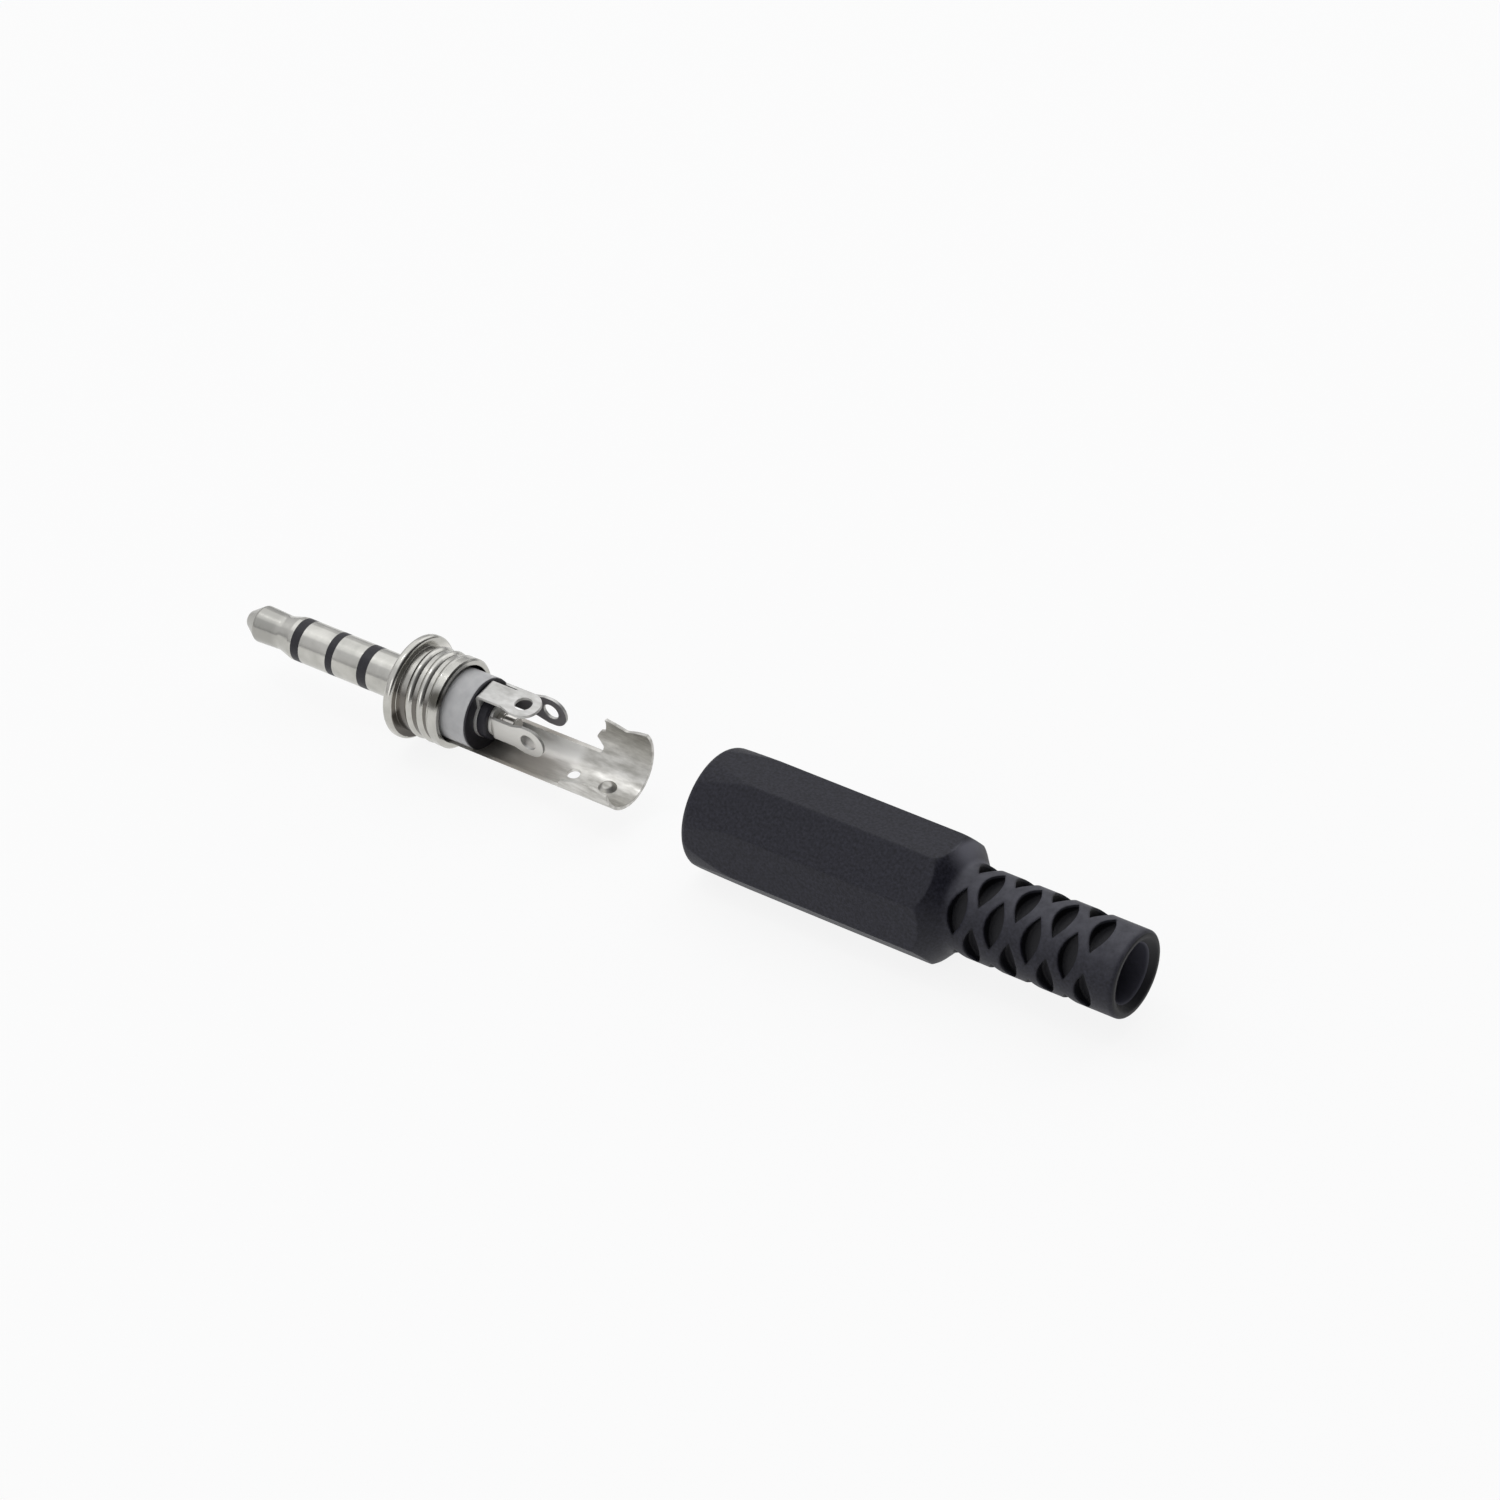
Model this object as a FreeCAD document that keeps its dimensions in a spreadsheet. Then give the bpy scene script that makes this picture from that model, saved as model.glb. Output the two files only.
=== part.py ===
import FreeCAD, Part
import Sketcher
import math
import os

# A four pole 3.5 mm audio jack plug with solder terminals, taken apart: the metal plug lies in front,
# and its plastic handle, which screws onto the plug's collar, lies behind it in line.
#
# Frame: millimetres, +Z up. The origin is on the axis of the plug, at the front face of the flange,
# where the plug stops in a socket. The axis is X: the tip points to -X and the cable leaves to +X.
# The handle rests on one flat of its octagon.

doc = FreeCAD.newDocument("AudioJackPlug")
sheet = doc.addObject("Spreadsheet::Sheet", "Sizes")

drivingSizes = {
    # the plug's shaft, from the flange forward
    "shaftRadius": 1.75,
    "sleeveLength": 3.51,
    "bandThreeLength": 0.91,
    "ringTwoLength": 2.45,
    "bandTwoLength": 0.67,
    "ringOneLength": 2.64,
    "bandOneLength": 0.8,
    "tipLength": 5.32,
    "noseRadius": 0.6,
    "noseRound": 0.4,
    "headRadius": 1.5,
    "headReach": 1.35,
    "headRound": 0.35,
    "waistRadius": 1.4,
    "waistReach": 3.7,
    "waistRound": 0.9,
    "tipRim": 0.35,
    # the tubes nested inside the shaft
    "rodRadius": 0.5,
    "sleevingWall": 0.15,
    "contactWall": 0.2,
    # the flange and the collar for the handle's thread
    "flangeStep": 0.55,
    "flangeThickness": 0.79,
    "flangeRound": 0.3,
    "collarWall": 0.48,
    "collarLength": 3.93,
    "threadLength": 3.0,
    "threadDepth": 0.2,
    "collarChamfer": 0.15,
    "seatDepth": 2.72,
    # the white bush and the washers behind it
    "bushRadius": 2.87,
    "bushStandOut": 2.15,
    "washerChamfer": 0.1,
    "frontWasherLength": 0.15,
    "rearWasherRadius": 1.75,
    "rearWasherLength": 0.78,
    "fitGap": 0.03,
    # the three solder terminals
    "terminalSheet": 0.25,
    "bendRound": 0.15,
    "lugLevel": 2.72,
    "lugRootWidth": 2.0,
    "paddleWidth": 2.6,
    "solderHoleRadius": 0.7,
    "solderHoleInset": 1.4,
    "paddleReach": 2.9,
    "ringTwoLugLength": 6.0,
    "ringOneWasherRadius": 1.8,
    "ringOneLugLength": 5.28,
    "tipWasherRadius": 1.35,
    "tipLugLevel": 1.15,
    "tipLugLength": 5.05,
    "rivetRadius": 0.7,
    "rivetLength": 1.6,
    "rivetGroove": 0.1,
    # the ground tongue and its cable clamp
    "tongueSheet": 0.25,
    "tongueInset": 2.5,
    "tongueSpan": 50.0,
    "clampStart": 16.0,
    "clampEnd": 20.4,
    "toothReach": 0.75,
    "toothSpan": 72.0,
    "toothNotchSpan": 86.0,
    "farWingSpan": 118.0,
    "farDipSpan": 102.0,
    "farCornerSpan": 126.0,
    "nearWingSpan": 97.0,
    "nearCornerSpan": 83.0,
    "keyHoleRadius": 0.52,
    "keyHolePlace": 14.7,
    "dimpleRadius": 1.0,
    "dimplePlace": 17.9,
    "dimpleHeight": 0.5,
    "plugRoll": 11.0,
    # the handle
    "handleTravel": 27.45,
    "mouthWall": 0.875,
    "cornerRun": 4.6,
    "cavityEndGap": 0.29,
    "cavityEndWall": 1.05,
    "shoulderRound": 1.1,
    "shoulderLength": 1.5,
    "shoulderFoot": 0.8,
    "reliefWall": 1.1,
    "reliefLength": 14.4,
    "reliefRound": 0.35,
    "cableBore": 2.3,
    "outletFlare": 0.55,
    "threadBoreGap": 0.17,
    "threadBoreLength": 4.2,
    "cavityGap": 0.33,
    "slotWidth": 1.4,
    "slotPitch": 3.13,
    "slotInset": 0.96,
    "slotPhase": 14.0,
    "slotWeb": 0.2,
}

for row, (name, value) in enumerate(drivingSizes.items(), start=1):
    sheet.set(f"A{row}", name)
    sheet.set(f"B{row}", str(value))
    sheet.setAlias(f"B{row}", name)
doc.recompute()


# A number kept together with the formula on the sheet that it comes from, so that a sketch is drawn
# at its true place and stays bound to the sheet.
class Size:
    def __init__(self, value, formula):
        self.value = value
        self.formula = formula

    def __add__(self, other):
        other = asSize(other)
        return Size(self.value + other.value, f"({self.formula} + {other.formula})")

    def __radd__(self, other):
        return asSize(other) + self

    def __sub__(self, other):
        other = asSize(other)
        return Size(self.value - other.value, f"({self.formula} - {other.formula})")

    def __rsub__(self, other):
        return asSize(other) - self

    def __mul__(self, other):
        other = asSize(other)
        return Size(self.value * other.value, f"({self.formula} * {other.formula})")

    def __rmul__(self, other):
        return asSize(other) * self

    def __truediv__(self, other):
        other = asSize(other)
        return Size(self.value / other.value, f"({self.formula} / {other.formula})")

    def __neg__(self):
        return Size(-self.value, f"(-1 * {self.formula})")


def asSize(item):
    if isinstance(item, Size):
        return item
    return Size(float(item), str(float(item)))


def size(name):
    return Size(drivingSizes[name], f"Sizes.{name}")


def cosine(angle):
    return Size(math.cos(math.radians(angle.value)), f"cos({angle.formula} * 1 deg)")


def sine(angle):
    return Size(math.sin(math.radians(angle.value)), f"sin({angle.formula} * 1 deg)")


def bind(thing, path, amount):
    thing.setExpression(path, asSize(amount).formula)


# Bodies and sketches
subParts = []


def newBody(label):
    body = doc.addObject("PartDesign::Body", label)
    body.Label = label
    subParts.append(body)
    return body


def place(body, along=0.0, roll=None):
    if roll is not None:
        body.Placement = FreeCAD.Placement(
            FreeCAD.Vector(), FreeCAD.Rotation(FreeCAD.Vector(1, 0, 0), roll.value)
        )
        bind(body, "Placement.Rotation.Angle", roll)
    bind(body, "Placement.Base.x", along)


def newSketch(body, planeRole, name, offset=None):
    sketch = body.newObject("Sketcher::SketchObject", name)
    plane = [feature for feature in body.Origin.OriginFeatures if feature.Role == planeRole][0]
    sketch.AttachmentSupport = [(plane, "")]
    sketch.MapMode = "FlatFace"
    if offset is not None:
        bind(sketch, "AttachmentOffset.Base.z", offset)
    return sketch


def vectorOf(point):
    return FreeCAD.Vector(point[0].value, point[1].value, 0)


def boundConstraint(sketch, kind, arguments, amount):
    index = sketch.addConstraint(Sketcher.Constraint(kind, *arguments, amount.value))
    sketch.setExpression(f"Constraints[{index}]", amount.formula)


def pin(sketch, geometry, vertex, point):
    boundConstraint(sketch, "DistanceX", (-1, 1, geometry, vertex), point[0])
    boundConstraint(sketch, "DistanceY", (-1, 1, geometry, vertex), point[1])


# A closed outline. Each corner is (x, y), or (x, y, radius) where it is rounded.
def outline(sketch, corners):
    points = [(asSize(corner[0]), asSize(corner[1])) for corner in corners]
    radii = [asSize(corner[2]) if len(corner) == 3 else None for corner in corners]
    spots = [vectorOf(point) for point in points]
    count = len(points)
    arrivals, departures, middles = [], [], []
    for index, spot in enumerate(spots):
        back = (spots[index - 1] - spot).normalize()
        ahead = (spots[(index + 1) % count] - spot).normalize()
        radius = radii[index].value if radii[index] else 0.0
        half = back.getAngle(ahead) / 2
        bisector = (back + ahead).normalize() if radius else FreeCAD.Vector()
        arrivals.append(spot + back * (radius / math.tan(half)))
        departures.append(spot + ahead * (radius / math.tan(half)))
        middles.append(spot + bisector * (radius / math.sin(half) - radius))
    sides = [
        sketch.addGeometry(Part.LineSegment(departures[index], arrivals[(index + 1) % count]))
        for index in range(count)
    ]
    for index, point in enumerate(points):
        incoming, outgoing = sides[index - 1], sides[index]
        if radii[index] is None:
            sketch.addConstraint(Sketcher.Constraint("Coincident", incoming, 2, outgoing, 1))
            pin(sketch, outgoing, 1, point)
            continue
        corner = sketch.addGeometry(Part.Point(spots[index]), True)
        pin(sketch, corner, 1, point)
        sketch.addConstraint(Sketcher.Constraint("PointOnObject", corner, 1, incoming))
        sketch.addConstraint(Sketcher.Constraint("PointOnObject", corner, 1, outgoing))
        arc = sketch.addGeometry(Part.Arc(arrivals[index], middles[index], departures[index]))
        starts = sketch.getPoint(arc, 1).distanceToPoint(arrivals[index]) < 1e-6
        first, last = (1, 2) if starts else (2, 1)
        sketch.addConstraint(Sketcher.Constraint("Tangent", incoming, 2, arc, first))
        sketch.addConstraint(Sketcher.Constraint("Tangent", arc, last, outgoing, 1))
        boundConstraint(sketch, "Radius", (arc,), radii[index])


def circle(sketch, centre, radius):
    spot = (asSize(centre[0]), asSize(centre[1]))
    ring = sketch.addGeometry(Part.Circle(vectorOf(spot), FreeCAD.Vector(0, 0, 1), radius.value))
    pin(sketch, ring, 3, spot)
    boundConstraint(sketch, "Radius", (ring,), radius)


def rectangle(sketch, left, right, low, high):
    outline(sketch, [(left, low), (right, low), (right, high), (left, high)])


def pad(body, sketch, length, centred=False):
    feature = body.newObject("PartDesign::Pad", sketch.Name + "Pad")
    feature.Profile = sketch
    bind(feature, "Length", length)
    feature.Midplane = centred
    return feature


# Cuts from the sketch along its normal, or against it, and makes sure that something was cut.
def pocket(body, sketch, length=None, centred=False, alongNormal=False):
    doc.recompute()
    before = body.Shape.Volume
    feature = body.newObject("PartDesign::Pocket", sketch.Name + "Pocket")
    feature.Profile = sketch
    feature.Midplane = centred
    feature.Reversed = alongNormal
    if length is None:
        feature.Type = "ThroughAll"
    else:
        bind(feature, "Length", length)
    doc.recompute()
    if body.Shape.Volume > before - 1e-6:
        raise RuntimeError(f"{feature.Name} cut nothing")
    return feature


# A piece turned about the X axis from an outline of (x, radius) corners.
def turned(label, corners):
    body = newBody(label)
    profile = newSketch(body, "XZ_Plane", label + "_profile")
    outline(profile, corners)
    turn = body.newObject("PartDesign::Revolution", label + "_turned")
    turn.Profile = profile
    turn.ReferenceAxis = (profile, ["H_Axis"])
    turn.Angle = 360
    return body


# Places along the axis
sleeveFront = -size("sleeveLength")
ringTwoEnd = sleeveFront - size("bandThreeLength")
ringTwoFront = ringTwoEnd - size("ringTwoLength")
ringOneEnd = ringTwoFront - size("bandTwoLength")
ringOneFront = ringOneEnd - size("ringOneLength")
tipEnd = ringOneFront - size("bandOneLength")
nose = tipEnd - size("tipLength")

collarEnd = size("flangeThickness") + size("collarLength")
seatFloor = collarEnd - size("seatDepth")
bushEnd = collarEnd + size("bushStandOut")
pocketFloor = bushEnd - size("terminalSheet")
frontWasherEnd = bushEnd + size("frontWasherLength")
ringOneWasherEnd = frontWasherEnd + size("terminalSheet")
rearWasherEnd = ringOneWasherEnd + size("rearWasherLength")
tipWasherEnd = rearWasherEnd + size("terminalSheet")

# The seat holds the bush with the tongue's sheet around it, and the collar is round the seat
seatRadius = size("bushRadius") + size("tongueSheet") + size("fitGap")
collarRadius = seatRadius + size("collarWall")
flangeRadius = collarRadius + size("flangeStep")

# Radii of the nested tubes, from the rod outward
tipSleeving = size("rodRadius") + size("sleevingWall")
ringOneTube = tipSleeving + size("contactWall")
ringOneSleeving = ringOneTube + size("sleevingWall")
ringTwoTube = ringOneSleeving + size("contactWall")
ringTwoSleeving = ringTwoTube + size("sleevingWall")

# Turns of the parts about the axis: the tongue is at the bottom, the terminals a quarter turn apart
plugRoll = size("plugRoll")
topTurn = plugRoll
farTurn = plugRoll - 90
nearTurn = plugRoll + 90


def tipContact():
    grooveStart = tipWasherEnd + size("rivetLength") * 0.3
    grooveEnd = tipWasherEnd + size("rivetLength") * 0.42
    grooveFloor = size("rivetRadius") - size("rivetGroove")
    turned("tip_contact", [
        (nose, 0),
        (nose, size("noseRadius"), size("noseRound")),
        (nose + size("headReach"), size("headRadius"), size("headRound")),
        (nose + size("waistReach"), size("waistRadius"), size("waistRound")),
        (tipEnd - size("tipRim"), size("shaftRadius"), size("tipRim")),
        (tipEnd, size("shaftRadius")),
        (tipEnd, size("rodRadius")),
        (tipWasherEnd, size("rodRadius")),
        (tipWasherEnd, size("rivetRadius")),
        (grooveStart, size("rivetRadius")),
        (grooveStart, grooveFloor),
        (grooveEnd, grooveFloor),
        (grooveEnd, size("rivetRadius")),
        (tipWasherEnd + size("rivetLength"), size("rivetRadius"), size("rivetGroove")),
        (tipWasherEnd + size("rivetLength"), 0),
    ])


# A ring of the shaft with the tube behind it that leads back to its terminal
def nestedPiece(label, front, back, inner, outer, tubeEnd):
    turned(label, [
        (front, inner),
        (front, size("shaftRadius")),
        (back, size("shaftRadius")),
        (back, outer),
        (tubeEnd, outer),
        (tubeEnd, inner),
    ])


def shaftStack():
    nestedPiece("tip_insulator", tipEnd, ringOneFront, size("rodRadius"), tipSleeving, rearWasherEnd)
    nestedPiece("ring_1_contact", ringOneFront, ringOneEnd, tipSleeving, ringOneTube, ringOneWasherEnd)
    nestedPiece(
        "ring_1_insulator", ringOneEnd, ringTwoFront, ringOneTube, ringOneSleeving, frontWasherEnd
    )
    nestedPiece("ring_2_contact", ringTwoFront, ringTwoEnd, ringOneSleeving, ringTwoTube, bushEnd)
    nestedPiece("ring_2_insulator", ringTwoEnd, sleeveFront, ringTwoTube, ringTwoSleeving, pocketFloor)


def sleeveCollar():
    threadEnd = size("flangeThickness") + size("threadLength")
    threadRoot = collarRadius - size("threadDepth")
    turned("sleeve_collar", [
        (sleeveFront, ringTwoSleeving),
        (sleeveFront, size("shaftRadius")),
        (0, size("shaftRadius")),
        (0, flangeRadius, size("flangeRound")),
        (size("flangeThickness"), flangeRadius, size("flangeRound")),
        (size("flangeThickness"), threadRoot),
        (threadEnd, threadRoot),
        (threadEnd + size("threadDepth"), collarRadius),
        (collarEnd - size("collarChamfer"), collarRadius),
        (collarEnd, collarRadius - size("collarChamfer")),
        (collarEnd, seatRadius),
        (seatFloor, seatRadius),
        (seatFloor, ringTwoSleeving),
    ])


# The washer of the ring 2 terminal lies in a pocket of the bush, and its lug leaves through a notch
# in the bush's rim and in the black washer
ringTwoWasher = size("lugLevel") - size("terminalSheet") - size("bendRound") - size("fitGap")
notchHalfWidth = size("lugRootWidth") / 2 + size("fitGap")
notchFloor = size("lugLevel") - size("terminalSheet") - size("fitGap")


def insulatingBush():
    length = bushEnd - seatFloor
    floor = length - size("terminalSheet")
    body = turned("insulating_bush", [
        (0, ringTwoSleeving),
        (0, size("bushRadius")),
        (length, size("bushRadius")),
        (length, ringTwoWasher + size("fitGap")),
        (floor, ringTwoWasher + size("fitGap")),
        (floor, ringTwoSleeving),
    ])
    notch = newSketch(body, "YZ_Plane", "insulating_bush_notch", length)
    rectangle(notch, -notchHalfWidth, notchHalfWidth, 0, size("bushRadius") + 1)
    pocket(body, notch, size("terminalSheet"))
    place(body, seatFloor, farTurn)


def frontWasher():
    length = size("frontWasherLength")
    rim = size("bushRadius") - size("fitGap")
    body = turned("front_washer", [
        (0, ringOneSleeving),
        (0, rim),
        (length, rim),
        (length, ringOneSleeving),
    ])
    notch = newSketch(body, "XY_Plane", "front_washer_notch", notchFloor - size("bendRound"))
    rectangle(notch, -1, length + 1, -notchHalfWidth, notchHalfWidth)
    pocket(body, notch, alongNormal=True)
    place(body, bushEnd, farTurn)


def rearWasher():
    body = turned("rear_washer", [
        (0, tipSleeving),
        (0, size("rearWasherRadius")),
        (size("rearWasherLength") - size("washerChamfer"), size("rearWasherRadius")),
        (size("rearWasherLength"), size("rearWasherRadius") - size("washerChamfer")),
        (size("rearWasherLength"), tipSleeving),
    ])
    place(body, ringOneWasherEnd)


# A stamped solder terminal: a washer with a tab that rises to the lug's level and bends back into a
# lug with a rounded paddle. In its own frame the washer's front face is at x = 0 and the lug is up.
def solderTerminal(label, washerFront, washerRadius, bore, level, length, turn):
    body = newBody(label)
    sheetThickness = size("terminalSheet")
    inside = level - sheetThickness

    bend = newSketch(body, "XZ_Plane", label + "_bend")
    outline(bend, [
        (0, 0),
        (0, level, size("bendRound") + sheetThickness),
        (length, level),
        (length, inside),
        (sheetThickness, inside, size("bendRound")),
        (sheetThickness, 0),
    ])
    pad(body, bend, size("paddleWidth") + 1, centred=True)

    halfRoot = size("lugRootWidth") / 2
    halfPaddle = size("paddleWidth") / 2
    neck = length - size("paddleReach")
    widest = length - size("paddleWidth") * 0.7
    blank = newSketch(body, "XY_Plane", label + "_outline")
    rectangle(blank, -1, length + 1, -size("paddleWidth"), size("paddleWidth"))
    outline(blank, [
        (-0.5, -halfRoot),
        (neck, -halfRoot),
        (widest, -halfPaddle),
        (length, -halfPaddle, halfPaddle * 0.96),
        (length, halfPaddle, halfPaddle * 0.96),
        (widest, halfPaddle),
        (neck, halfRoot),
        (-0.5, halfRoot),
    ])
    pocket(body, blank, centred=True)

    hole = newSketch(body, "XY_Plane", label + "_hole")
    circle(hole, (length - size("solderHoleInset"), 0), size("solderHoleRadius"))
    pocket(body, hole, centred=True)

    disc = newSketch(body, "YZ_Plane", label + "_washer")
    circle(disc, (0, 0), washerRadius)
    pad(body, disc, sheetThickness)
    centre = newSketch(body, "YZ_Plane", label + "_bore")
    circle(centre, (0, 0), bore)
    pocket(body, centre, sheetThickness, alongNormal=True)
    place(body, washerFront, turn)


def solderTerminals():
    solderTerminal(
        "ring_2_terminal", pocketFloor, ringTwoWasher, ringTwoTube,
        size("lugLevel"), size("ringTwoLugLength"), farTurn,
    )
    solderTerminal(
        "ring_1_terminal", frontWasherEnd, size("ringOneWasherRadius"), ringOneTube,
        size("lugLevel"), size("ringOneLugLength"), topTurn,
    )
    solderTerminal(
        "tip_terminal", rearWasherEnd, size("tipWasherRadius"), size("rodRadius"),
        size("tipLugLevel"), size("tipLugLength"), nearTurn,
    )


# The height of the tongue's edge at a given angle from its bottom, on the sheet's middle surface
def edgeHeight(span):
    return -(size("bushRadius") + size("tongueSheet") / 2) * cosine(span)


# The pressed dimple that keeps the cable from turning: a blunt cone, and the hollow below it
def dimpleShape(body, kind, name, width, foot, crown):
    sketch = newSketch(body, "XZ_Plane", name)
    bind(sketch, "AttachmentOffset.Base.x", size("dimplePlace"))
    outline(sketch, [
        (0, foot),
        (width, foot),
        (width * 0.4, crown, width * 0.25),
        (0, crown),
    ])
    turn = body.newObject("PartDesign::" + kind, name + "_turned")
    turn.Profile = sketch
    turn.ReferenceAxis = (sketch, ["V_Axis"])
    turn.Angle = 360


# The ground tongue grips the bush inside the collar and ends in the cable clamp: a rolled sheet whose
# two wings are trimmed differently. The far one wraps higher and has a claw in front.
def groundTongue():
    body = newBody("ground_tongue")
    inner = size("bushRadius")
    outer = inner + size("tongueSheet")
    start = collarEnd - size("tongueInset")
    clampStart = size("clampStart")
    clampEnd = size("clampEnd")

    blank = newSketch(body, "YZ_Plane", "tongue_blank", start)
    circle(blank, (0, 0), inner)
    circle(blank, (0, 0), outer)
    pad(body, blank, clampEnd - start)

    low = edgeHeight(size("tongueSpan"))
    top = outer + 1
    reach = size("toothReach")
    notch = edgeHeight(size("toothNotchSpan"))
    claw = edgeHeight(size("toothSpan"))
    farTop = edgeHeight(size("farWingSpan"))
    farDip = edgeHeight(size("farDipSpan"))
    farCorner = edgeHeight(size("farCornerSpan"))
    length = clampEnd - clampStart
    far = newSketch(body, "XZ_Plane", "tongue_far_edge")
    outline(far, [
        (start - 1, low),
        (clampStart, low, reach / 4),
        (clampStart, claw * 1.6, reach / 4),
        (clampStart - reach, claw, reach / 6),
        (clampStart - reach * 0.6, notch * 2, reach / 6),
        (clampStart + reach * 0.1, notch, reach / 8),
        (clampStart + reach * 0.6, farTop, reach / 6),
        (clampStart + length / 2, farDip, reach * 0.8),
        (clampEnd - length / 4, farDip * 1.8, reach),
        (clampEnd + 1, farCorner),
        (clampEnd + 1, top),
        (start - 1, top),
    ])
    pocket(body, far)

    nearTop = edgeHeight(size("nearWingSpan"))
    nearCorner = edgeHeight(size("nearCornerSpan"))
    near = newSketch(body, "XZ_Plane", "tongue_near_edge")
    outline(near, [
        (start - 1, low),
        (clampStart - reach, low, reach / 4),
        (clampStart, nearCorner, reach / 4),
        (clampStart + length * 0.56, nearTop, reach),
        (clampEnd + 1, nearCorner),
        (clampEnd + 1, top),
        (start - 1, top),
    ])
    pocket(body, near, alongNormal=True)

    hole = newSketch(body, "XY_Plane", "tongue_hole")
    circle(hole, (size("keyHolePlace"), 0), size("keyHoleRadius"))
    pocket(body, hole)

    crown = size("dimpleHeight") - inner - size("tongueSheet") / 2
    dimpleShape(body, "Revolution", "tongue_dimple", size("dimpleRadius"), -outer, crown)
    hollow = size("dimpleRadius") - size("tongueSheet") * 0.6
    dimpleShape(body, "Groove", "tongue_hollow", hollow, -outer - 0.5, crown - size("tongueSheet"))
    place(body, 0, plugRoll)


# The strain relief's outer radius
reliefRadius = size("cableBore") + size("reliefWall")


# The handle in its own frame has its mouth at x = 0
def handle():
    threadBore = collarRadius + size("threadBoreGap")
    flat = threadBore + size("mouthWall")
    corner = flat / cosine(asSize(22.5))
    cavityEnd = size("clampEnd") - size("flangeThickness") + size("cavityEndGap")
    barrelEnd = cavityEnd + size("cavityEndWall")
    reliefStart = barrelEnd + size("shoulderLength")
    end = reliefStart + size("reliefLength")
    cavity = size("bushRadius") + size("tongueSheet") + size("cavityGap")
    body = turned("handle", [
        (0, threadBore),
        (0, flat, size("mouthWall") * 0.9),
        (size("cornerRun"), corner),
        (barrelEnd, corner, size("shoulderRound")),
        (reliefStart, reliefRadius, size("shoulderFoot")),
        (end, reliefRadius, size("reliefRound")),
        (end, size("cableBore") + size("outletFlare")),
        (end - size("outletFlare"), size("cableBore")),
        (cavityEnd, size("cableBore")),
        (cavityEnd, cavity),
        (size("threadBoreLength"), cavity),
        (size("threadBoreLength"), threadBore),
    ])

    flats = newSketch(body, "YZ_Plane", "handle_flats")
    circle(flats, (0, 0), corner + 1)
    around = [asSize(22.5 + 45 * index) for index in range(8)]
    outline(flats, [(corner * cosine(angle), corner * sine(angle)) for angle in around])
    pocket(body, flats, reliefStart, alongNormal=True)

    firstSlot = reliefStart + size("slotInset")
    cutReliefSlots(body, "even", firstSlot, size("slotPhase") + 45)
    cutReliefSlots(body, "odd", firstSlot + size("slotPitch") / 2, size("slotPhase"))
    place(body, size("flangeThickness") + size("handleTravel"))


# Four rows of slots along the strain relief, each row with four slots a quarter turn apart. A slot is
# shaped like a lens, and a thin web at its bottom parts it from the cable's bore.
def cutReliefSlots(body, kind, firstPlace, phase):
    side = size("slotWidth") * 0.85
    halfLength = reliefRadius * 0.53
    rounding = halfLength * halfLength / side * 0.85
    floor = size("cableBore") + size("slotWeb")
    slots = newSketch(body, "XY_Plane", f"slots_{kind}")
    slots.AttachmentOffset = FreeCAD.Placement(
        FreeCAD.Vector(), FreeCAD.Rotation(FreeCAD.Vector(1, 0, 0), phase.value)
    )
    bind(slots, "AttachmentOffset.Rotation.Angle", phase)
    bind(slots, "AttachmentOffset.Base.y", -floor * sine(phase))
    bind(slots, "AttachmentOffset.Base.z", floor * cosine(phase))
    for index in range(4):
        middle = firstPlace + size("slotPitch") * index
        outline(slots, [
            (middle, -halfLength),
            (middle + side, 0, rounding),
            (middle, halfLength),
            (middle - side, 0, rounding),
        ])
    cut = pocket(body, slots, alongNormal=True)
    around = body.newObject("PartDesign::PolarPattern", f"slots_{kind}_around")
    around.Originals = [cut]
    axis = [feature for feature in body.Origin.OriginFeatures if feature.Role == "X_Axis"][0]
    around.Axis = (axis, [""])
    around.Angle = 360
    around.Occurrences = 4
    body.Tip = around


tipContact()
shaftStack()
sleeveCollar()
insulatingBush()
frontWasher()
rearWasher()
solderTerminals()
groundTongue()
handle()
doc.recompute()

for thing in doc.Objects:
    if "Invalid" in thing.State or "Error" in thing.State:
        raise RuntimeError(f"{thing.Name} failed: {thing.State}")
for part in subParts:
    if part.Shape.isNull() or not part.Shape.isValid() or len(part.Shape.Solids) != 1:
        raise RuntimeError(f"{part.Label} is not one sound solid")

os.makedirs("parts", exist_ok=True)
for part in subParts:
    part.Shape.exportStep(f"parts/{part.Label}.step")
    box = part.Shape.BoundBox
    print(f"{part.Label}: {box.XMin:.2f} to {box.XMax:.2f}, volume {part.Shape.Volume:.2f}")
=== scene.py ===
import math

import bpy
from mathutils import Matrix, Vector


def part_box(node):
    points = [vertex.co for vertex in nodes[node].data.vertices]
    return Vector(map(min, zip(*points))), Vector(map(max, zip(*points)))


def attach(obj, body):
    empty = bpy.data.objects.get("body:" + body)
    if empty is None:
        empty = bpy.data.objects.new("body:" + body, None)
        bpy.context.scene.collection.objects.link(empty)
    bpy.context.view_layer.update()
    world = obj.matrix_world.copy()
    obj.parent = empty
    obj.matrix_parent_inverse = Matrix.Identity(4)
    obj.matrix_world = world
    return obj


# Audio jack plug taken apart: the metal plug in front, its slotted plastic handle behind it.
# Metres. The tip points towards -X and the handle rests on one flat of its octagon.

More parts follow.
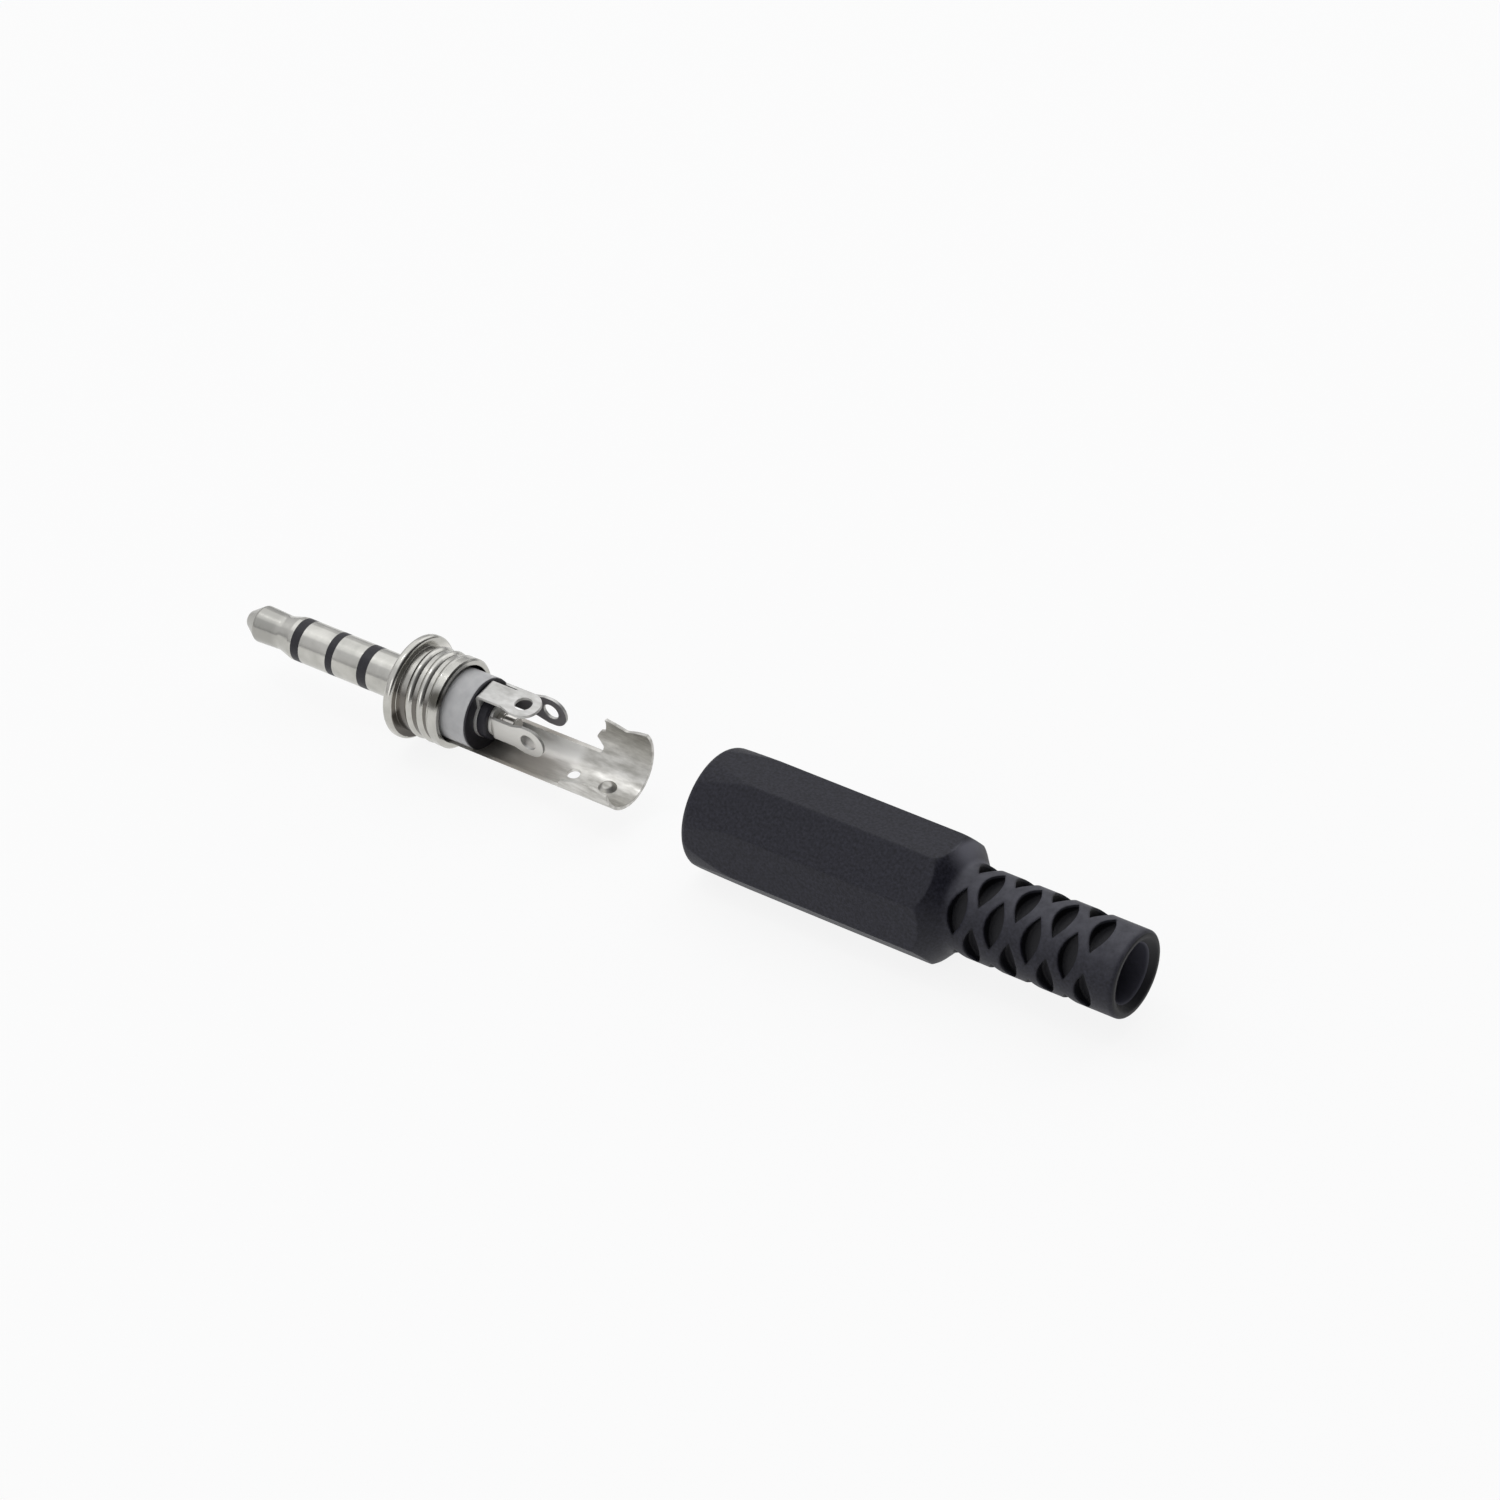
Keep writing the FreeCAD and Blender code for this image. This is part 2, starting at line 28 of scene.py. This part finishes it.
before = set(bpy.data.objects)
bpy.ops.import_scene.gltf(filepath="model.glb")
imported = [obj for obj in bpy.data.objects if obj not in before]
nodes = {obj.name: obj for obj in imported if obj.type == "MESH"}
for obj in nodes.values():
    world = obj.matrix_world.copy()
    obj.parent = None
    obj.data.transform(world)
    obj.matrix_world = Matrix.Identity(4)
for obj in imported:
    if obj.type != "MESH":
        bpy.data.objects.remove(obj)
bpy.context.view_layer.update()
mm = 0.001
print("frame loaded:", len(nodes), "nodes")


# Camera, at the photograph's angle
cameraSetup = {
    "azimuth": 35.33,
    "elevation": 33.96,
    "distance": 400 * mm,
    "lens": 131.0,
    "aim": Vector((31.46 * mm, 0.0, 6.2 * mm)),
    "nearest": 10 * mm,
    "furthest": 30.0,
}


def makeCamera(setup):
    turn = math.radians(setup["azimuth"])
    rise = math.radians(setup["elevation"])
    back = Vector((
        math.sin(turn) * math.cos(rise),
        -math.cos(turn) * math.cos(rise),
        math.sin(rise),
    ))
    data = bpy.data.cameras.new("photoCamera")
    data.lens = setup["lens"]
    data.clip_start = setup["nearest"]
    data.clip_end = setup["furthest"]
    camera = bpy.data.objects.new("photoCamera", data)
    bpy.context.scene.collection.objects.link(camera)
    camera.location = setup["aim"] + back * setup["distance"]
    camera.rotation_mode = "QUATERNION"
    camera.rotation_quaternion = (-back).to_track_quat("-Z", "Y")
    bpy.context.scene.camera = camera


makeCamera(cameraSetup)
bpy.context.scene.view_settings.view_transform = "Standard"
print("camera placed")


# Helpers for the finishes. The first one also gives the shader, whose sockets take what the others make.
def newFinish(name, colour, roughness, metallic=0.0):
    finish = bpy.data.materials.new(name)
    finish.use_nodes = True
    shader = finish.node_tree.nodes["Principled BSDF"]
    shader.inputs["Base Color"].default_value = (*colour, 1.0)
    shader.inputs["Roughness"].default_value = roughness
    shader.inputs["Metallic"].default_value = metallic
    return finish, shader


def addNode(finish, kind, **settings):
    node = finish.node_tree.nodes.new(kind)
    for name, value in settings.items():
        setattr(node, name, value)
    return node


def join(finish, source, target):
    finish.node_tree.links.new(source, target)


def mathStep(finish, operation, first, second=0.0):
    node = addNode(finish, "ShaderNodeMath", operation=operation)
    for socket, value in zip(node.inputs, (first, second)):
        if isinstance(value, (int, float)):
            socket.default_value = value
        else:
            join(finish, value, socket)
    return node.outputs[0]


def product(finish, first, *others):
    for other in others:
        first = mathStep(finish, "MULTIPLY", first, other)
    return first


def objectPlace(finish):
    return addNode(finish, "ShaderNodeTexCoord").outputs["Object"]


def splitPlace(finish, place):
    parts = addNode(finish, "ShaderNodeSeparateXYZ")
    join(finish, place, parts.inputs[0])
    return parts.outputs


# X is the place along the plug and Y the distance from its axis, so that marks run round the piece
# as a lathe leaves them
def lathePlace(finish):
    parts = splitPlace(finish, objectPlace(finish))
    across = mathStep(finish, "POWER", parts["Y"], 2.0)
    upward = mathStep(finish, "POWER", parts["Z"], 2.0)
    radius = mathStep(finish, "SQRT", mathStep(finish, "ADD", across, upward))
    combined = addNode(finish, "ShaderNodeCombineXYZ")
    join(finish, parts["X"], combined.inputs["X"])
    join(finish, radius, combined.inputs["Y"])
    return combined.outputs[0]


# Under 1, stretch draws marks out along the plug
def stretchedPlace(finish, stretch):
    mapping = addNode(finish, "ShaderNodeMapping")
    mapping.inputs["Scale"].default_value = (stretch, 1.0, 1.0)
    join(finish, objectPlace(finish), mapping.inputs["Vector"])
    return mapping.outputs[0]


# size is how large one blotch or grain is, in metres
def noiseAt(finish, place, size, detail=3.0, roughness=0.5):
    noise = addNode(finish, "ShaderNodeTexNoise")
    noise.inputs["Scale"].default_value = 1.0 / size
    noise.inputs["Detail"].default_value = detail
    noise.inputs["Roughness"].default_value = roughness
    join(finish, place, noise.inputs["Vector"])
    return noise.outputs["Fac"]


# Noise seldom leaves this span, so the two ends of a range or a colour lie here
noiseLow, noiseHigh = 0.3, 0.7


def spread(finish, noise, low, high):
    span = addNode(finish, "ShaderNodeMapRange")
    span.inputs["From Min"].default_value = noiseLow
    span.inputs["From Max"].default_value = noiseHigh
    span.inputs["To Min"].default_value = low
    span.inputs["To Max"].default_value = high
    join(finish, noise, span.inputs["Value"])
    return span.outputs["Result"]


def colourBetween(finish, noise, dark, light):
    ramp = addNode(finish, "ShaderNodeValToRGB")
    stops = ramp.color_ramp.elements
    for stop, position, colour in zip(stops, (noiseLow, noiseHigh), (dark, light)):
        stop.position = position
        stop.color = (*colour, 1.0)
    join(finish, noise, ramp.inputs["Fac"])
    return ramp.outputs["Color"]


# Lays a colour over what is there, by the amount at each point
def overlay(finish, amount, under, colour):
    blend = addNode(finish, "ShaderNodeMix", data_type="RGBA")
    underSocket, colourSocket = [socket for socket in blend.inputs if socket.type == "RGBA"]
    join(finish, amount, blend.inputs["Factor"])
    join(finish, under, underSocket)
    colourSocket.default_value = (*colour, 1.0)
    return [socket for socket in blend.outputs if socket.type == "RGBA"][0]


# From 0 where the source is at none to 1 where it is at full
def fade(finish, source, none, full):
    span = addNode(finish, "ShaderNodeMapRange", interpolation_type="SMOOTHSTEP")
    span.inputs["From Min"].default_value = none
    span.inputs["From Max"].default_value = full
    join(finish, source, span.inputs["Value"])
    return span.outputs["Result"]


# How far a face looks towards the given direction, 1 for squarely
def facing(finish, direction, none=0.4, full=0.8):
    dot = addNode(finish, "ShaderNodeVectorMath", operation="DOT_PRODUCT")
    dot.inputs[1].default_value = direction
    join(finish, addNode(finish, "ShaderNodeTexCoord").outputs["Normal"], dot.inputs[0])
    return fade(finish, dot.outputs["Value"], none, full)


# Painted light and shade on a stretch of the piece, between two places along the plug. It is full below
# fullHeight, and from clearHeight up only its least amount is left.
def paintedLightStretch(finish, colour, tone):
    parts = splitPlace(finish, objectPlace(finish))
    start, end, soft = tone["start"], tone["end"], tone["soft"]
    begun = fade(finish, parts["X"], start - soft, start)
    ended = fade(finish, parts["X"], end + soft, end)
    low = fade(finish, parts["Z"], tone["clearHeight"], tone["fullHeight"])
    low = mathStep(finish, "MAXIMUM", low, tone["least"])
    return overlay(finish, product(finish, begun, ended, low), colour, tone["colour"])


# Fine relief on the surface, with edges that catch the light as if rounded by the given radius
def raised(finish, shader, relief, height, edge):
    rounded = addNode(finish, "ShaderNodeBevel", samples=6)
    rounded.inputs["Radius"].default_value = edge
    bump = addNode(finish, "ShaderNodeBump")
    bump.inputs["Distance"].default_value = height
    join(finish, relief, bump.inputs["Height"])
    join(finish, rounded.outputs["Normal"], bump.inputs["Normal"])
    join(finish, bump.outputs["Normal"], shader.inputs["Normal"])


def dress(names, finish):
    for name in names:
        for slot in nodes[name].material_slots:
            slot.material = finish


# Satin nickel, as turned on a lathe
turnedNickel = {
    "dark": (0.44, 0.435, 0.405),
    "light": (0.57, 0.56, 0.525),
    "blotch": 1.6 * mm,
    "smoothest": 0.16,
    "roughest": 0.27,
    "markWidth": 0.05 * mm,
    "markDepth": 0.0012 * mm,
    "edge": 0.05 * mm,
}

# Painted light on the tip contact's riveted end, brighter on its lower side, and painted shade on its
# head, a little darker, most towards the bottom
tipPaintedLightAndShade = {
    "rivet": {
        "colour": (0.85, 0.82, 0.78),
        "start": 8.35 * mm,
        "end": 12 * mm,
        "soft": 0.05 * mm,
        "clearHeight": 1.2 * mm,
        "fullHeight": -0.2 * mm,
        "least": 0.6,
    },
    "head": {
        "colour": (0.38, 0.375, 0.35),
        "start": -20 * mm,
        "end": -13.3 * mm,
        "soft": 1.0 * mm,
        "clearHeight": 2.5 * mm,
        "fullHeight": 1.0 * mm,
        "least": 0.9,
    },
}

# Painted shade on the thread's root, most towards the bottom. On the flange's rear face a painted
# highlight above its middle and painted shade below it, darkest at the bottom, where the root beside it
# is painted dark too.
collarPaintedLightAndShade = {
    "threadRoot": {
        "colour": (0.17, 0.16, 0.145),
        "start": 0.82 * mm,
        "end": 3.7 * mm,
        "soft": 0.01 * mm,
        "clearHeight": 2.5 * mm,
        "fullHeight": 1.0 * mm,
        "least": 0.12,
    },
    "flangeUpper": {
        "colour": (0.8, 0.78, 0.74),
        "start": 0.775 * mm,
        "end": 0.8 * mm,
        "soft": 0.01 * mm,
        "clearHeight": 3.0 * mm,
        "fullHeight": 1.8 * mm,
        "least": 0.0,
    },
    "flangeLower": {
        "colour": (0.165, 0.154, 0.138),
        "start": 0.775 * mm,
        "end": 0.8 * mm,
        "soft": 0.01 * mm,
        "clearHeight": 0.1 * mm,
        "fullHeight": -0.6 * mm,
        "least": 0.0,
    },
    "flangeBottom": {
        "colour": (0.085, 0.079, 0.072),
        "start": 0.775 * mm,
        "end": 1.6 * mm,
        "soft": 0.01 * mm,
        "clearHeight": -0.2 * mm,
        "fullHeight": -3.4 * mm,
        "least": 0.0,
    },
}

# A painted dark reflection beside the last turn of the thread, on the collar and the ridge alike
threadPaintedReflection = {
    "colour": (0.12, 0.115, 0.1),
    "middle": (4.4 * mm, -2.92 * mm, 1.85 * mm),
    "core": 0.35 * mm,
    "reach": 1.1 * mm,
}


def makeTurnedNickel(name, look, tones=None, paintedReflection=None):
    finish, shader = newFinish(name, look["light"], look["smoothest"], metallic=1.0)
    blotches = noiseAt(finish, objectPlace(finish), look["blotch"])
    colour = colourBetween(finish, blotches, look["dark"], look["light"])
    # painted light and shade on stretches of the piece
    if tones:
        for tone in tones.values():
            colour = paintedLightStretch(finish, colour, tone)
    # a painted dark reflection in one place
    if paintedReflection:
        away = addNode(finish, "ShaderNodeVectorMath", operation="DISTANCE")
        join(finish, objectPlace(finish), away.inputs[0])
        away.inputs[1].default_value = paintedReflection["middle"]
        amount = fade(finish, away.outputs["Value"], paintedReflection["reach"], paintedReflection["core"])
        colour = overlay(finish, amount, colour, paintedReflection["colour"])
    join(finish, colour, shader.inputs["Base Color"])
    marks = noiseAt(finish, lathePlace(finish), look["markWidth"], detail=2.0)
    gloss = spread(finish, marks, look["smoothest"], look["roughest"])
    join(finish, gloss, shader.inputs["Roughness"])
    raised(finish, shader, marks, look["markDepth"], look["edge"])
    return finish


dress(["ring_1_contact", "ring_2_contact"], makeTurnedNickel("turnedNickel", turnedNickel))
# The tip contact carries painted light and shade
dress(["tip_contact"], makeTurnedNickel("tipNickel", turnedNickel, tones=tipPaintedLightAndShade))
# The collar carries painted light and shade and a painted dark reflection
dress(
    ["sleeve_collar"],
    makeTurnedNickel("collarNickel", turnedNickel, tones=collarPaintedLightAndShade, paintedReflection=threadPaintedReflection),
)
print("turned pieces dressed")


# Nickel on sheet that was rolled and stamped: streaky along its length, a little duller
tongueNickel = {
    "dark": (0.43, 0.42, 0.39),
    "light": (0.68, 0.67, 0.64),
    "streakWidth": 0.5 * mm,
    "streakStretch": 0.3,
    "smoothest": 0.36,
    "roughest": 0.55,
    "grain": 0.06 * mm,
    "grainStretch": 0.4,
    "grainDepth": 0.002 * mm,
    "edge": 0.05 * mm,
}

# Painted shade along the tongue's middle, brownish and most towards the bottom
tonguePaintedShade = {
    "colour": (0.41, 0.385, 0.35),
    "start": 10 * mm,
    "end": 11 * mm,
    "soft": 5 * mm,
    "clearHeight": 1.5 * mm,
    "fullHeight": -1.2 * mm,
    "least": 0.2,
}

# Painted light on the inside of the tongue's far wall, up to the clamp
tongueFarWallPaintedLight = {
    "direction": (0, -0.988, 0.156),
    "colour": (0.86, 0.85, 0.82),
    "end": 15 * mm,
    "soft": 1 * mm,
}

# The solder lugs are paler and duller than the tongue
lugNickel = {
    "dark": (0.53, 0.525, 0.505),
    "light": (0.65, 0.645, 0.63),
    "streakWidth": 0.6 * mm,
    "streakStretch": 0.5,
    "smoothest": 0.5,
    "roughest": 0.7,
    "grain": 0.05 * mm,
    "grainStretch": 0.4,
    "grainDepth": 0.003 * mm,
    "edge": 0.05 * mm,
}

# Painted light and shade on the two side lugs where they look towards -Y: painted shade on the far one,
# painted light on the near one
farLugPaintedShade = {
    "direction": (0, -0.98, -0.19),
    "colour": (0.36, 0.35, 0.375),
}
nearLugPaintedLight = {
    "direction": (0, -0.98, -0.19),
    "colour": (0.76, 0.75, 0.72),
}


def makeStampedNickel(name, look, tone=None, side=None):
    finish, shader = newFinish(name, look["light"], look["smoothest"], metallic=1.0)
    streakPlace = stretchedPlace(finish, look["streakStretch"])
    streaks = noiseAt(finish, streakPlace, look["streakWidth"], detail=5.0, roughness=0.6)
    colour = colourBetween(finish, streaks, look["dark"], look["light"])
    # painted shade on a stretch of the sheet
    if tone:
        colour = paintedLightStretch(finish, colour, tone)
    # painted light and shade where a face looks one way
    if side:
        amount = facing(finish, side["direction"])
        if "end" in side:
            along = splitPlace(finish, objectPlace(finish))["X"]
            before = fade(finish, along, side["end"], side["end"] - side["soft"])
            amount = product(finish, amount, before)
        colour = overlay(finish, amount, colour, side["colour"])
    join(finish, colour, shader.inputs["Base Color"])
    gloss = spread(finish, streaks, look["roughest"], look["smoothest"])
    join(finish, gloss, shader.inputs["Roughness"])
    grain = noiseAt(finish, stretchedPlace(finish, look["grainStretch"]), look["grain"])
    raised(finish, shader, grain, look["grainDepth"], look["edge"])
    return finish


# The tongue carries painted shade along its middle and painted light on its far wall
dress(
    ["ground_tongue"],
    makeStampedNickel("tongueNickel", tongueNickel, tone=tonguePaintedShade, side=tongueFarWallPaintedLight),
)
dress(["ring_1_terminal"], makeStampedNickel("lugNickel", lugNickel))
# painted shade on the far lug, painted light on the near lug
dress(["ring_2_terminal"], makeStampedNickel("farLugNickel", lugNickel, side=farLugPaintedShade))
dress(["tip_terminal"], makeStampedNickel("nearLugNickel", lugNickel, side=nearLugPaintedLight))
print("stamped pieces dressed")


# Charcoal plastic of the handle, finely grained
handlePlastic = {
    "dark": (0.003, 0.003, 0.008),
    "light": (0.019, 0.019, 0.03),
    "speckle": 0.22 * mm,
    "roughness": 0.55,
    "gloss": 0.3,
    "grain": 0.1 * mm,
    "grainDepth": 0.012 * mm,
    "edge": 0.3 * mm,
    # dust and painted light on the upper side of the strain relief
    "dustAndPaintedLight": (0.075, 0.075, 0.092),
    "dustAndLightBlotch": 0.9 * mm,
    "dustAndLightThin": 0.45,
    "dustAndLightThick": 1.0,
    "reliefStart": 50.2 * mm,
    "reliefFull": 50.8 * mm,
    "dustAndLightLow": 0.8 * mm,
    "dustAndLightHigh": 4.2 * mm,
    # painted light high on the shoulder's far side
    "shoulderPaintedLight": (0.15, 0.15, 0.18),
    "shoulderStart": 49.3 * mm,
    "shoulderEnd": 50.6 * mm,
    "shoulderSoft": 0.4 * mm,
    "shoulderLow": 2.2 * mm,
    "shoulderHigh": 4.2 * mm,
    "shoulderNear": -1.5 * mm,
    "shoulderFar": 1.0 * mm,
    # painted shade inside the slots, and the cable's bore paler
    "slotPaintedShade": (0.007, 0.007, 0.01),
    "slotRadius": 3.2 * mm,
    "bore": (0.085, 0.085, 0.11),
    "boreRadius": 2.4 * mm,
}


def makeHandlePlastic(look):
    finish, shader = newFinish("handlePlastic", look["light"], look["roughness"])
    shader.inputs["Specular IOR Level"].default_value = look["gloss"]
    place = objectPlace(finish)
    speckles = noiseAt(finish, place, look["speckle"], detail=2.0)
    colour = colourBetween(finish, speckles, look["dark"], look["light"])

    parts = splitPlace(finish, place)
    behind = fade(finish, parts["X"], look["reliefStart"], look["reliefFull"])
    # dust and painted light, paler on the upper side of the strain relief
    above = fade(finish, parts["Z"], look["dustAndLightLow"], look["dustAndLightHigh"])
    blotches = noiseAt(finish, place, look["dustAndLightBlotch"])
    blotches = spread(finish, blotches, look["dustAndLightThin"], look["dustAndLightThick"])
    colour = overlay(finish, product(finish, behind, above, blotches), colour, look["dustAndPaintedLight"])

    # painted light high on the shoulder's far side
    start, end, soft = look["shoulderStart"], look["shoulderEnd"], look["shoulderSoft"]
    shoulder = product(
        finish,
        fade(finish, parts["X"], start, start + soft),
        fade(finish, parts["X"], end + soft, end),
        fade(finish, parts["Z"], look["shoulderLow"], look["shoulderHigh"]),
        fade(finish, parts["Y"], look["shoulderNear"], look["shoulderFar"]),
    )
    colour = overlay(finish, shoulder, colour, look["shoulderPaintedLight"])

    # painted shade inside the slots, and a paler bore
    radius = splitPlace(finish, lathePlace(finish))["Y"]
    for limit, inner in (
        (look["slotRadius"], look["slotPaintedShade"]),
        (look["boreRadius"], look["bore"]),
    ):
        inside = mathStep(finish, "LESS_THAN", radius, limit)
        colour = overlay(finish, product(finish, inside, behind), colour, inner)
    join(finish, colour, shader.inputs["Base Color"])
    raised(finish, shader, noiseAt(finish, place, look["grain"]), look["grainDepth"], look["edge"])
    return finish


dress(["handle"], makeHandlePlastic(handlePlastic))
print("handle dressed")


# Black insulating plastic of the bands and washers
blackInsulation = {
    "dark": (0.013, 0.012, 0.017),
    "light": (0.021, 0.02, 0.027),
    "speckle": 0.2 * mm,
    "grain": 0.05 * mm,
    "grainDepth": 0.003 * mm,
    "edge": 0.03 * mm,
    "roughness": 0.45,
    "gloss": 0.35,
}


def makeBlackInsulation(look):
    finish, shader = newFinish("blackInsulation", look["light"], look["roughness"])
    shader.inputs["Specular IOR Level"].default_value = look["gloss"]
    place = objectPlace(finish)
    speckles = noiseAt(finish, place, look["speckle"])
    colour = colourBetween(finish, speckles, look["dark"], look["light"])
    join(finish, colour, shader.inputs["Base Color"])
    raised(finish, shader, noiseAt(finish, place, look["grain"]), look["grainDepth"], look["edge"])
    return finish


# Milky white plastic of the bush, light passes a little way into it
bushPlastic = {
    "dark": (0.44, 0.44, 0.445),
    "light": (0.53, 0.53, 0.53),
    "cloud": 0.9 * mm,
    "grain": 0.08 * mm,
    "grainDepth": 0.002 * mm,
    "edge": 0.06 * mm,
    "roughness": 0.38,
    "milkiness": 0.25,
    "lightDepth": 0.4 * mm,
}


def makeBushPlastic(look):
    finish, shader = newFinish("bushPlastic", look["light"], look["roughness"])
    place = objectPlace(finish)
    clouds = noiseAt(finish, place, look["cloud"])
    colour = colourBetween(finish, clouds, look["dark"], look["light"])
    join(finish, colour, shader.inputs["Base Color"])
    shader.inputs["Subsurface Weight"].default_value = look["milkiness"]
    shader.inputs["Subsurface Radius"].default_value = (1.0, 1.0, 1.0)  # as deep for each colour
    shader.inputs["Subsurface Scale"].default_value = look["lightDepth"]
    raised(finish, shader, noiseAt(finish, place, look["grain"]), look["grainDepth"], look["edge"])
    return finish


dress(
    ["tip_insulator", "ring_1_insulator", "ring_2_insulator", "front_washer", "rear_washer"],
    makeBlackInsulation(blackInsulation),
)
dress(["insulating_bush"], makeBushPlastic(bushPlastic))
print("insulators dressed")


# The collar's screw thread, a rounded ridge wound round the collar's plain root. Its section gives
# the place across the ridge and the height there, as shares of its width and height.
collarThread = {
    "pitch": 1.05 * mm,
    "turns": 2.5,
    "crestRadius": 3.63 * mm,
    "rootRadius": 3.42 * mm,
    "sunk": 0.02 * mm,
    "width": 0.8 * mm,
    "start": 1.5 * mm,
    "taperTurns": 0.12,
    "stepsPerTurn": 96,
    "section": (
        (-0.5, 0.0), (-0.36, 0.3), (-0.2, 0.8), (0.0, 1.0), (0.2, 0.8), (0.36, 0.3), (0.5, 0.0),
    ),
}


def makeCollarThread(thread):
    steps = int(thread["turns"] * thread["stepsPerTurn"])
    foot = thread["rootRadius"] - thread["sunk"]
    height = thread["crestRadius"] - foot
    points, faces = [], []
    for step in range(steps + 1):
        turns = step / thread["stepsPerTurn"]
        angle = 2 * math.pi * turns
        nearestEnd = min(turns, thread["turns"] - turns)
        taper = min(1.0, nearestEnd / thread["taperTurns"])
        for along, lift in thread["section"]:
            x = thread["start"] + thread["pitch"] * turns + along * thread["width"]
            radius = foot + height * lift * taper
            points.append((x, radius * math.cos(angle), radius * math.sin(angle)))
    width = len(thread["section"])
    for step in range(steps):
        first, second = step * width, (step + 1) * width
        for index in range(width - 1):
            faces.append((first + index, second + index, second + index + 1, first + index + 1))
        faces.append((first + width - 1, second + width - 1, second, first))  # the underside
    faces.append(tuple(range(width)))
    faces.append(tuple(steps * width + index for index in reversed(range(width))))
    mesh = bpy.data.meshes.new("collarThread")
    mesh.from_pydata(points, [], faces)
    mesh.validate()
    for face in mesh.polygons:
        face.use_smooth = True
    piece = bpy.data.objects.new("collarThread", mesh)
    bpy.context.scene.collection.objects.link(piece)
    # the thread carries the painted dark reflection too
    mesh.materials.append(makeTurnedNickel("threadNickel", turnedNickel, paintedReflection=threadPaintedReflection))
    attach(piece, "plug")


makeCollarThread(collarThread)
print("thread wound")


# A pale floor and soft studio light. The room is dim on the cable's side, so faces that look that way
# are the darkest.
studio = {
    "floorHalf": 10.0,
    "floorColour": (0.86, 0.86, 0.86),
    "floorRoughness": 0.9,
    "floorWhite": 0.87,
    "skyTop": (0.9, 0.91, 0.93),
    "skyEdge": (0.68, 0.68, 0.69),
    "horizon": (0.3, 0.3, 0.31),
    "horizonHeight": 0.2,
    "dimFrom": -0.1,
    "dimTo": 0.7,
    "dimSide": 0.06,
}


def makeFloor(look):
    half = look["floorHalf"]
    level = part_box("handle")[0].z
    mesh = bpy.data.meshes.new("floor")
    corners = [(-half, -half, level), (half, -half, level), (half, half, level), (-half, half, level)]
    mesh.from_pydata(corners, [], [(0, 1, 2, 3)])
    floor = bpy.data.objects.new("floor", mesh)
    bpy.context.scene.collection.objects.link(floor)
    finish, shader = newFinish("paleFloor", look["floorColour"], look["floorRoughness"])
    glow = addNode(finish, "ShaderNodeEmission")
    glow.inputs["Strength"].default_value = 1.0
    rays = addNode(finish, "ShaderNodeLightPath")
    seen = mathStep(finish, "MAXIMUM", rays.outputs["Is Camera Ray"], rays.outputs["Is Glossy Ray"])
    seen = mathStep(finish, "MAXIMUM", seen, rays.outputs["Is Transmission Ray"])
    blend = addNode(finish, "ShaderNodeMixShader")
    join(finish, product(finish, seen, look["floorWhite"]), blend.inputs["Fac"])
    join(finish, shader.outputs[0], blend.inputs[1])
    join(finish, glow.outputs[0], blend.inputs[2])
    join(finish, blend.outputs[0], finish.node_tree.nodes["Material Output"].inputs["Surface"])
    mesh.materials.append(finish)


# The helpers for the finishes also work on the world
def makeSky(look):
    world = bpy.data.worlds.new("studio")
    bpy.context.scene.world = world
    world.use_nodes = True
    background = world.node_tree.nodes["Background"]
    parts = splitPlace(world, addNode(world, "ShaderNodeTexCoord").outputs["Generated"])
    ramp = addNode(world, "ShaderNodeValToRGB")
    stops = ramp.color_ramp.elements
    stops[0].color = (*look["horizon"], 1.0)
    stops[1].color = (*look["skyTop"], 1.0)
    stops.new(look["horizonHeight"]).color = (*look["skyEdge"], 1.0)
    join(world, parts["Z"], ramp.inputs["Fac"])
    join(world, ramp.outputs["Color"], background.inputs["Color"])
    dimmer = addNode(world, "ShaderNodeMapRange", interpolation_type="SMOOTHSTEP")
    dimmer.inputs["From Min"].default_value = look["dimFrom"]
    dimmer.inputs["From Max"].default_value = look["dimTo"]
    dimmer.inputs["To Min"].default_value = 1.0
    dimmer.inputs["To Max"].default_value = look["dimSide"]
    join(world, parts["X"], dimmer.inputs["Value"])
    join(world, dimmer.outputs["Result"], background.inputs["Strength"])


lampAim = Vector((25 * mm, 0.0, 0.0))
softLamps = {
    "key": {"place": (-0.25, 0.12, 0.68), "size": 1.1, "power": 1.6},
    "back": {"place": (0.05, 0.5, 0.35), "size": 0.4, "power": 0.4},
    "front": {"place": (-0.05, -0.5, 0.15), "size": 0.3, "power": 0.3},
    "glint": {"place": (-0.2, -0.05, 0.5), "size": 0.05, "power": 0.14},
}


def makeLamps(lamps, aim):
    for name, look in lamps.items():
        data = bpy.data.lights.new(name, "AREA")
        data.shape = "SQUARE"
        data.size = look["size"]
        data.energy = look["power"]
        lamp = bpy.data.objects.new(name, data)
        bpy.context.scene.collection.objects.link(lamp)
        lamp.location = look["place"]
        lamp.rotation_mode = "QUATERNION"
        lamp.rotation_quaternion = (aim - Vector(look["place"])).to_track_quat("-Z", "Y")


makeFloor(studio)
makeSky(studio)
makeLamps(softLamps, lampAim)
print("studio lit")
